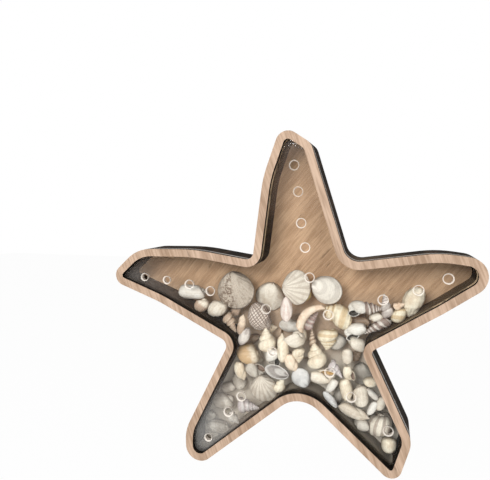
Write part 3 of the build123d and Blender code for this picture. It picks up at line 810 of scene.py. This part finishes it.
@dataclass(frozen=True)
class Shell:
    """One shell: its form, size in millimetres, turns in degrees and finish.

    The turn points its apex, counted from the right. A shell without a depth is as deep as it is
    wide. The roll winds a snail about its own axis: 330 hides its mouth and about 160 shows it.
    """

    name: str
    form: str
    finish: str
    length: float
    width: float
    turn: float
    depth: float = 0.0
    roll: float = 330.0
    hollow_up: bool = False
    ribs: float = 0.0

    @property
    def kind(self) -> Kind:
        """The family that the form belongs to."""
        if self.form in COILS:
            return Kind.SNAIL
        return Kind.TUSK if self.form == "tusk" else Kind.VALVE

    @property
    def bulge(self) -> float:
        """Side that a valve bulges to: 1 towards the viewer, -1 where its hollow shows."""
        return -1.0 if self.hollow_up else 1.0

    def axes(self) -> tuple[np.ndarray, np.ndarray, np.ndarray]:
        """The shell's own axes.

        Returns:
            The directions towards its apex, sideways and towards the viewer.
        """
        angle = math.radians(self.turn)
        apex = np.array((math.cos(angle), 0.0, math.sin(angle)))
        viewer = np.array((0.0, -1.0, 0.0))
        return apex, np.cross(viewer, apex), viewer

    def set_down(self, local: np.ndarray, centre: Vector) -> np.ndarray:
        """Fit local points to the shell's size and carry them to its place.

        Args:
            local: Points along the apex, sideways and towards the viewer.
            centre: The middle of the shell's place.

        Returns:
            The points in the frame of the case.
        """
        low = local.min(axis=0)
        high = local.max(axis=0)
        grown = np.clip(FULLNESS - FULLNESS_FALL * (self.length - SHORTEST), LEAST_FULLNESS, FULLNESS)
        size = np.array((self.length * grown, self.width * grown, self.depth or self.width)) * MM
        fitted = (local - (low + high) / 2) * (size / (high - low))
        apex, side, viewer = self.axes()
        turned = fitted[:, :1] * apex + fitted[:, 1:2] * side + fitted[:, 2:] * viewer
        return turned + np.array(centre)

    def wrap(self, cells: tuple[int, int], form: Form, centre: Vector) -> bpy.types.Object:
        """Wrap a sheet over one of the forms and set it down in its place.

        Args:
            cells: Cells along and across the sheet.
            form: The form, in the shell's own axes.
            centre: The middle of the shell's place.

        Returns:
            The wrapped sheet.
        """
        return wrapped_sheet(
            self.name, cells, lambda along, around: self.set_down(form(along, around), centre)
        )

    def snail_wall(self, along: np.ndarray, phi: np.ndarray, theta: np.ndarray) -> np.ndarray:
        """Width of a snail's tube, with its ribs, cords, lip and the hollow inside its mouth.

        Args:
            along: Places from the apex to the lip and back inside, from 0 to 1.
            phi: Angles around the tube.
            theta: Angles of the winding, counted from the mouth.

        Returns:
            The tube's width at each place, as a share of its plain width.
        """
        coil = COILS[self.form]
        fade = np.clip(along / APEX, 0, 1)
        ribs = 1 + coil.rib_height * np.cos(coil.rib_count * theta)
        cords = 1 + coil.cord_height * np.cos(coil.cord_count * phi)
        flare = 1 + FLARE * np.exp(-theta / FLARE_TURN)
        outside = ribs * cords * flare * fade
        turned_in = 1 + FLARE - FOLD * np.clip((along - LIP) / (RIM - LIP), 0, 1)
        inside = HOLLOW * (1 - inner_share(along) ** 4)
        wall = np.where(along <= LIP, outside, turned_in)
        wall = np.where(inner_share(along) > 0, inside, wall)
        opening = np.clip(theta / MOUTH_TURN, 0, 1)
        wall = wall * (coil.mouth + (1 - coil.mouth) * opening**2 * (3 - 2 * opening))
        return wall * (1 + WAVER * np.sin(2 * phi + 1.7 * theta + self.turn))

    def snail_form(self, along: np.ndarray, around: np.ndarray) -> np.ndarray:
        """Points of a tube that winds down from the apex to an open mouth.

        Args:
            along: Places from the apex to the lip and back inside, from 0 to 1.
            around: Places around the tube, from 0 to 1.

        Returns:
            The points along the apex, sideways and towards the viewer.
        """
        coil = COILS[self.form]
        growth = math.log(coil.shrink) / (2 * math.pi)
        phi = 2 * math.pi * around
        back = np.clip(1 - along / LIP, 0, 1) * (2 * math.pi * coil.turns)
        theta = back + inner_share(along) * HOLLOW_TURN
        scale = np.exp(-growth * theta)
        wall = self.snail_wall(along, phi, theta)
        radial = (coil.reach + wall * squared(np.cos(phi), coil.square)) * scale
        axial = -(coil.drop + coil.belly * wall * squared(np.sin(phi), coil.square)) * scale
        angle = theta + math.radians(self.roll)
        return np.stack((axial, radial * np.cos(angle), radial * np.sin(angle)), axis=1)

    def snail(self, centre: Vector) -> bpy.types.Object:
        """Wind a snail shell's tube.

        Args:
            centre: The middle of the shell's place.

        Returns:
            The shell.
        """
        coil = COILS[self.form]
        rows = int(max(26, 8 * coil.rib_count) * coil.turns) + 24
        return self.wrap((rows, int(max(26, 6 * coil.cord_count))), self.snail_form, centre)

    def valve_form(self, across: np.ndarray, out: np.ndarray) -> np.ndarray:
        """Points of a domed fan with ribs and growth steps.

        Args:
            across: Places from one side of the fan to the other, from 0 to 1.
            out: Places from the beak to the margin, from 0 to 1.

        Returns:
            The points along the apex, sideways and towards the viewer.
        """
        beak, beak_width = 0.49, 0.02
        fan_turn, narrowing = 0.90, 0.12
        rib_height, rib_lift = 0.045, 0.35
        step_height, step_count = 0.012, 9
        spread = (across - 0.5) * 2
        beta = math.pi + spread * math.pi * fan_turn
        margin_x = 0.5 * np.cos(beta) - 0.03
        margin_y = 0.5 * np.sin(beta) * (1 - narrowing * np.clip(np.cos(beta), 0, 1))
        reach = beak_width + (1 - beak_width) * out
        arch = np.sin(math.pi * np.clip(reach, 0, 1) ** 0.62) ** 0.8
        arch = arch * (1 - np.abs(spread) ** 5) ** 0.5
        ribs = np.zeros_like(reach)
        if self.ribs:
            ribs = np.cos(2 * math.pi * self.ribs * across) * reach * rib_height
        steps = step_height * np.cos(2 * math.pi * step_count * reach)
        height = self.bulge * (arch * (1 + ribs + steps) + ribs * rib_lift)
        return np.stack((beak + (margin_x - beak) * reach, margin_y * reach, height * 0.5), axis=1)

    def valve(self, centre: Vector) -> bpy.types.Object:
        """Raise a fan-shaped sheet into one valve and give it a wall.

        Args:
            centre: The middle of the shell's place.

        Returns:
            The valve, as a thin shell.
        """
        shape = self.wrap((96 if self.ribs else 56, 34), self.valve_form, centre)
        facing = sum((polygon.normal * polygon.area for polygon in shape.data.polygons), Vector())
        if facing.y * self.bulge > 0:
            shape.data.flip_normals()
        finish_modifier(shape, "SOLIDIFY", thickness=VALVE_WALL, offset=-self.bulge, use_even_offset=True)
        return shape

    def tusk_form(self, along: np.ndarray, around: np.ndarray) -> np.ndarray:
        """Points of a bent tapering tube that is open at its wide end.

        Args:
            along: Places from the tip to the lip and back inside, from 0 to 1.
            around: Places around the tube, from 0 to 1.

        Returns:
            The points along the apex, sideways and towards the viewer.
        """
        tip, lip, rim = 0.02, 0.90, 0.93
        thin, widening = 0.16, 0.10
        ring_height, ring_pitch = 0.03, 60
        sag = 0.34
        phi = 2 * math.pi * around
        run = np.clip(along / lip, 0, 1)
        hollow = np.clip((along - rim) / (1 - rim), 0, 1)
        x = 1 - 2 * run + 0.5 * hollow
        thick = thin + widening * run
        outside = np.clip(along / tip, 0, 1) ** 0.5
        wall = np.where(along > lip, 0.82 * (1 - hollow**4), outside)
        rings = 1 + ring_height * np.cos(ring_pitch * run)
        bend = sag * (1 - x * x)
        y = bend + thick * wall * rings * np.cos(phi)
        return np.stack((x, y, thick * wall * rings * np.sin(phi)), axis=1)

    def tusk(self, centre: Vector) -> bpy.types.Object:
        """Bend a tusk shell's tube."""
        return self.wrap((72, 24), self.tusk_form, centre)

    def build(self, centre: Vector, seed: float) -> bpy.types.Object:
        """Model the shell and dress it.

        Args:
            centre: The middle of the shell's place.
            seed: Shifts the finish's noise.

        Returns:
            The finished shell.
        """
        makers = {Kind.SNAIL: self.snail, Kind.VALVE: self.valve, Kind.TUSK: self.tusk}
        shape = makers[self.kind](centre)
        shape.data.materials.clear()
        shape.data.materials.append(FINISHES[self.finish].make(self.name, seed, self.kind))
        return shape


# ---------- The shells and where they lie ----------

# Shells that have a node of their own.
SINGLE_SHELLS: tuple[Shell, ...] = (
    Shell("weathered_cockle", "valve", "weathered", 22.5, 22.5, 100, depth=5.6, ribs=15),
    Shell("bleached_barrel", "barrel", "chalk", 16.0, 8.0, 0),
    Shell("white_moon_shell", "moon", "bone", 11.0, 9.6, 60, roll=300),
    Shell("netted_whelk", "whelk", "net", 17.0, 13.5, -55, roll=300),
    Shell("cream_clam", "valve", "bone", 16.5, 16.5, 75, depth=4.2),
    Shell("white_scallop", "valve", "fan", 15.0, 18.5, 180, depth=3.6, ribs=10),
    Shell("big_white_clam", "valve", "ridged", 17.0, 15.0, 150, depth=4.2),
    Shell("pink_valve", "valve", "pink", 13.8, 6.5, 88, depth=2.8),
    Shell("curved_tusk", "tusk", "peach", 19.2, 9.0, 45, depth=6.6),
    Shell("pink_turret", "turret", "pink_bands", 11.8, 6.8, 50),
    Shell("yellow_whelk", "corded", "butter", 17.0, 12.0, 155),
    Shell("slit_snail", "globe", "chalk", 8.5, 7.5, 0, roll=155),
    Shell("grey_turret", "turret", "grey_white", 12.0, 6.2, 100),
    Shell("cream_whelk", "whelk", "cream", 16.5, 10.4, -105),
    Shell("banded_turret", "turret", "brown_bands", 15.3, 6.3, 215),
    Shell("holed_snail", "globe", "chalk", 11.0, 7.5, 20, roll=160),
    Shell("yellow_cone", "cone", "butter", 11.0, 10.0, -95),
    Shell("round_moon_shell", "moon", "bone", 10.0, 8.0, 30, roll=60),
    Shell("wedge_cone", "cone", "cream", 12.0, 9.5, 95),
    Shell("cream_spindle", "spindle", "cream", 15.5, 6.5, 92),
    Shell("ochre_moon_shell", "moon", "ochre", 13.5, 11.0, 10),
    Shell("holed_white_shell", "globe", "chalk", 8.4, 8.0, 80, roll=170),
    Shell("large_cream_cone", "cone", "cream", 13.0, 10.5, 100),
    Shell("mouthed_snail", "globe", "grey", 9.8, 8.2, 150, roll=165),
    Shell("open_mussel", "valve", "mussel", 12.2, 6.2, -15, depth=3.2, hollow_up=True),
    Shell("ochre_tipped_shell", "globe", "ochre_mouth", 12.0, 8.2, 180, roll=150),
    Shell("blue_white_clam", "valve", "blue_white", 10.0, 9.5, -45, depth=3.3),
    Shell("fan_scallop", "valve", "fan", 15.4, 15.6, 100, depth=4.2, ribs=11),
    Shell("smooth_grey_shell", "valve", "grey", 12.0, 10.0, 90, depth=3.3),
    Shell("cream_cowrie", "egg", "cream", 12.5, 6.4, 105),
    Shell("lower_white_barrel", "barrel", "bone", 10.5, 7.5, 95),
    Shell("long_white_shell", "spindle", "bone", 17.0, 6.5, -20),
    Shell("striped_moon_shell", "moon", "striped", 13.5, 12.5, 80),
    Shell("striped_top_shell", "turret", "lilac_bands", 12.0, 8.0, -5),
    Shell("hazy_snail", "globe", "hazy", 11.5, 9.0, 10),
    Shell("hazy_whorl", "whelk", "hazy", 16.2, 8.6, 180),
)

# Shells that share a node, in order from left to right.
SHARED_SHELLS: dict[str, tuple[Shell, ...]] = {
    "small_shells_left": (
        Shell("ochre_top_shell", "globe", "spiral", 7.5, 6.8, 50),
        Shell("left_turret", "turret", "tan", 11.0, 6.5, -60),
        Shell("banded_moon_shell", "moon", "spiral", 10.0, 6.5, 90),
        Shell("tan_sliver", "spindle", "tan", 10.5, 4.5, 80),
        Shell("grey_half_clam", "valve", "grey_white", 10.5, 5.5, 60, depth=2.4),
        Shell("dark_half_clam", "valve", "brown", 9.5, 5.0, 30, depth=2.4),
        Shell("beige_chip", "cone", "cream", 5.5, 4.5, 10),
    ),
    "small_shells_low_left": (
        Shell("hazy_small_shell", "egg", "hazy", 9.0, 5.5, 20),
        Shell("hazy_cream_shell", "egg", "hazy", 10.5, 7.0, -60),
        Shell("beige_tall_shell", "spindle", "cream", 10.5, 6.0, -70),
        Shell("white_spiral", "turret", "bone", 8.0, 5.5, 80),
    ),
    "small_shells_left_tip": (
        Shell("hazy_pebble", "egg", "hazy", 6.8, 5.0, 45),
        Shell("white_corner_chip", "cone", "chalk", 7.4, 5.0, -45),
    ),
    "small_shells_middle": (
        Shell("white_bowl", "valve", "chalk", 12.5, 7.3, 0, depth=3.2),
        Shell("lower_spindle", "spindle", "peach", 9.5, 6.0, -65),
        Shell("small_beige_cone", "cone", "cream", 7.5, 6.0, -90),
        Shell("cream_spire", "spindle", "cream", 7.0, 3.0, 95),
        Shell("beige_spire", "turret", "tan", 9.5, 4.0, 95),
        Shell("hazy_grey_shell", "egg", "grey", 9.5, 8.0, 60),
        Shell("white_clump", "egg", "bone", 8.5, 5.5, 95),
    ),
    "small_shells_low_middle": (
        Shell("small_cream_cone", "cone", "cream", 8.0, 5.4, 65),
        Shell("striped_grey_shell", "turret", "lilac_bands", 9.5, 5.5, -50),
        Shell("mouthed_beige_shell", "globe", "cream", 7.0, 5.5, 100, roll=160),
        Shell("dark_chip", "cone", "brown", 6.0, 5.0, 40),
    ),
    "small_shells_right": (
        Shell("white_knuckle", "egg", "bone", 8.5, 6.0, -15),
        Shell("hazy_brown_shell", "barrel", "brown", 10.0, 5.0, 5),
        Shell("brown_turret", "turret", "brown_bands", 8.4, 6.2, 0),
        Shell("white_pebble_shell", "egg", "bone", 6.0, 3.6, 25),
        Shell("round_yellow_shell", "globe", "butter", 7.0, 6.4, 80),
        Shell("pink_chip", "cone", "peach", 5.0, 3.5, 20),
    ),
    "small_shells_low_right": (
        Shell("round_grey_shell", "egg", "grey", 7.0, 5.4, 0),
        Shell("pale_nub", "egg", "cream", 6.0, 4.5, 15),
        Shell("small_white_bean", "egg", "chalk", 6.5, 3.0, -35),
        Shell("white_bean", "egg", "chalk", 8.0, 3.5, 65),
        Shell("pale_oval", "egg", "bone", 8.0, 4.5, 70),
        Shell("last_beige_shell", "egg", "cream", 8.0, 7.0, 90),
    ),
    "small_shells_bottom": (
        Shell("bluish_leaf", "valve", "blue_white", 9.5, 3.8, -45, depth=1.9),
        Shell("white_shard", "egg", "chalk", 8.5, 4.0, 60),
        Shell("grey_wedge", "spindle", "grey", 8.0, 5.0, 80),
    ),
}


def loose_centres(node: str) -> list[Vector]:
    """Middles of a node's separate solids, from left to right.

    Args:
        node: The node's name.

    Returns:
        The middles of the solids' boxes.
    """
    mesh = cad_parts[node].data
    points = np.empty(len(mesh.vertices) * 3)
    mesh.vertices.foreach_get("co", points)
    merged, index = np.unique(np.round(points.reshape(-1, 3), 6), axis=0, return_inverse=True)
    corners = np.empty(len(mesh.loops), dtype=np.int64)
    mesh.loops.foreach_get("vertex_index", corners)
    faces = index.ravel()[corners].reshape(-1, 3)
    label = np.arange(len(merged))
    settled = False
    while not settled:
        before = label.copy()
        lowest = label[faces].min(axis=1)
        for corner in range(3):
            np.minimum.at(label, faces[:, corner], lowest)
        label = label[label]
        settled = np.array_equal(before, label)
    middles = []
    for solid in np.unique(label[faces]):
        cloud = merged[label == solid]
        middles.append(Vector((cloud.min(axis=0) + cloud.max(axis=0)) / 2))
    return sorted(middles, key=lambda middle: middle.x)


@dataclass
class ShellFilling:
    """All the shells behind the window."""

    singles: tuple[Shell, ...] = SINGLE_SHELLS
    shared: dict[str, tuple[Shell, ...]] = field(default_factory=lambda: SHARED_SHELLS)
    seed_step: float = 0.37

    def lay(self, shell: Shell, node: str, centre: Vector, number: int) -> None:
        """Build one shell and hand its node's place to it.

        Args:
            shell: The shell.
            node: The node that it replaces, alone or with others.
            centre: The middle of its place.
            number: Its number in the filling, which sets its noise.
        """
        shape = shell.build(centre, number * self.seed_step)
        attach(shape, "case")
        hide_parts(node)
        LOG.info("shell %s: %d faces", shell.name, len(shape.data.polygons))

    def build(self) -> None:
        """Lay every shell where its solid is."""
        places = []
        for shell in self.singles:
            low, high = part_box(shell.name)
            places.append((shell, shell.name, (Vector(low) + Vector(high)) / 2))
        for node, members in self.shared.items():
            for shell, centre in zip(members, loose_centres(node), strict=True):
                places.append((shell, node, centre))
        for number, (shell, node, centre) in enumerate(places):
            self.lay(shell, node, centre, number)


# ---------- The case ----------


@dataclass
class StarCase:
    """The glued sheets, the hatch and the metal pieces, which keep their CAD forms."""

    spacer_count: int = 5
    face: BoardFinish = BoardFinish(
        "pale_veneer",
        light=(0.47, 0.34, 0.25),
        dark=(0.27, 0.18, 0.12),
        edge=(0.004, 0.003, 0.002),
        edge_light=(0.018, 0.010, 0.006),
        grain_turn=-70.0,
    )
    wall: BoardFinish = BoardFinish(
        "scorched_layers",
        light=(0.56, 0.43, 0.29),
        dark=(0.42, 0.30, 0.19),
        edge=(0.014, 0.008, 0.004),
        edge_light=(0.048, 0.026, 0.014),
        grain_turn=20.0,
        # Painted shade on the faces at the lower left.
        shade=(0.030, 0.022, 0.016),
        ledge=(0.34, 0.29, 0.235),
    )
    back: BoardFinish = BoardFinish(
        "brown_back_board",
        light=(0.61, 0.403, 0.256),
        dark=(0.40, 0.245, 0.144),
        edge=(0.004, 0.003, 0.002),
        edge_light=(0.018, 0.010, 0.006),
        grain_turn=50.0,
        grain_pitch=1250.0,
        cross_grain=0.07,
        contrast=1.3,
        # Pale dust low on the face, partly painted light in the gaps between the shells.
        dust=(0.67, 0.60, 0.51),
        # Brown painted shadow of the shells, low on the face.
        shadow_brown=(0.46, 0.36, 0.275),
        bore=(5.5 * MM, -65.0 * MM, 17.0 * MM),
    )
    clear: ClearFinish = ClearFinish("clear_window")
    brass: MetalFinish = MetalFinish("brass_screw", (0.66, 0.50, 0.24), 0.28)
    steel: MetalFinish = MetalFinish("zinc_strip", (0.55, 0.56, 0.57), 0.36)
    rubber: RubberFinish = RubberFinish("bumper_rubber", (0.03, 0.03, 0.03))

    def dressing(self) -> list[tuple[BoardFinish | ClearFinish | MetalFinish | RubberFinish, list[str]]]:
        """Which nodes take which finish.

        Returns:
            Each finish with its nodes.
        """
        rings = [f"spacer_ring_{number}" for number in range(1, self.spacer_count + 1)]
        return [
            (self.face, ["front_frame"]),
            (self.clear, ["window"]),
            (self.wall, rings),
            (self.back, ["back_panel", "hatch_cover"]),
            (self.brass, ["pivot_barrel", "pivot_washer", "pivot_screw"]),
            (self.steel, ["sawtooth_hanger", "hanger_nails"]),
            (self.rubber, ["wall_bumpers"]),
        ]

    def build(self) -> None:
        """Give each node its material."""
        for finish, nodes in self.dressing():
            material = finish.make()
            for node in nodes:
                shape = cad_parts[node]
                shape.data.materials.clear()
                shape.data.materials.append(material)
                LOG.info("node %s: %s", node, material.name)


# ---------- Camera, light and surroundings ----------


@dataclass(frozen=True)
class Lamp:
    """A soft square lamp: its place, its side in metres and its power in watts."""

    name: str
    place: Triple
    size: float
    power: float
    target: Triple = (0.0, 0.0, -0.05)

    def hang(self) -> None:
        """Hang the lamp and aim it at the case."""
        bpy.ops.object.light_add(type="AREA", location=self.place)
        lamp = bpy.context.active_object
        lamp.name = self.name
        lamp.data.size = self.size
        lamp.data.energy = self.power
        aim = Vector(self.target) - Vector(self.place)
        lamp.rotation_euler = aim.to_track_quat("-Z", "Y").to_euler()


@dataclass
class Studio:
    """Pale floor, plain soft light and the photograph's camera.

    The camera's place is measured in millimetres from the middle of the star.
    """

    star_middle: Triple = (11.5, 0.0, -27.0)
    camera_offset: Triple = (40.1, -289.6, 39.3)
    azimuth: float = 16.324
    elevation: float = 4.111
    lens: float = 35.78
    sensor: float = 36.0
    clip_start: float = 10 * MM
    floor_drop: float = 0.12
    floor_size: float = 4.0
    floor_glow: float = 0.96
    world_light: float = 0.48
    lamps: tuple[Lamp, ...] = (
        Lamp("key", (-0.26, -0.95, 0.36), 0.40, 8.2),
        Lamp("fill", (0.55, -0.80, 0.25), 0.60, 3.5),
    )

    def camera(self) -> None:
        """Stand the camera where the photograph was taken."""
        middle = Vector([part * MM for part in self.star_middle])
        place = middle + Vector(self.camera_offset) * MM
        tilt = (math.radians(90 - self.elevation), 0.0, math.radians(self.azimuth))
        bpy.ops.object.camera_add(location=place, rotation=tilt)
        camera = bpy.context.active_object
        camera.name = "photo_camera"
        camera.data.sensor_width = self.sensor
        camera.data.lens = self.lens
        camera.data.clip_start = self.clip_start
        bpy.context.scene.camera = camera
        LOG.info("camera at %s", tuple(round(part, 4) for part in place))

    def world(self) -> None:
        """White as the camera sees it, also through glass, and dimmer as a light on the case."""
        world = bpy.data.worlds.new("studio_world")
        bpy.context.scene.world = world
        world.use_nodes = True
        bench = NodeBench(world.node_tree)
        rays = bench.node("ShaderNodeLightPath")
        through_glass = bench.wire(rays, "Is Transmission Ray")
        seen = bench.maths("MAXIMUM", bench.wire(rays, "Is Camera Ray"), through_glass)
        level = bench.node("ShaderNodeMapRange", {}, {0: seen, 3: self.world_light, 4: 1.0})
        background = world.node_tree.nodes["Background"]
        bench.feed(background.inputs["Color"], WHITE)
        bench.feed(background.inputs["Strength"], bench.wire(level))

    def floor(self, lowest: float) -> None:
        """Lay a pale floor below the case.

        Args:
            lowest: The height of the case's lowest point.
        """
        bpy.ops.object.select_all(action="DESELECT")
        height = lowest - self.floor_drop
        bpy.ops.mesh.primitive_plane_add(size=self.floor_size, location=(0.0, 0.0, height))
        floor = bpy.context.active_object
        floor.name = "pale_floor"
        paint = Paint("pale_floor")
        grain = paint.noise(paint.place(), 60.0, 2.0)
        paint.dress(Base_Color=paint.mix(grain, (0.93, 0.93, 0.93), (0.97, 0.97, 0.97)), Roughness=0.9)
        seen = paint.wire(paint.node("ShaderNodeLightPath"), "Is Camera Ray")
        glow = paint.wire(paint.node("ShaderNodeEmission", {}, {"Color": WHITE, "Strength": 1.0}))
        paint.blend(seen * self.floor_glow, paint.wire(paint.shader), glow)
        floor.data.materials.append(paint.material)
        floor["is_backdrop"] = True

    def build(self) -> None:
        """Set the floor, the lamps, the world and the camera."""
        bpy.context.scene.view_settings.view_transform = "Standard"
        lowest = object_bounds()[0][2]
        self.floor(lowest)
        for lamp in self.lamps:
            lamp.hang()
        self.world()
        self.camera()


def main() -> None:
    """Build the case, its filling and the studio in order."""
    logging.basicConfig(level=logging.INFO)
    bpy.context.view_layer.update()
    StarCase().build()
    ShellFilling().build()
    Studio().build()


if __name__ == "__main__":
    main()
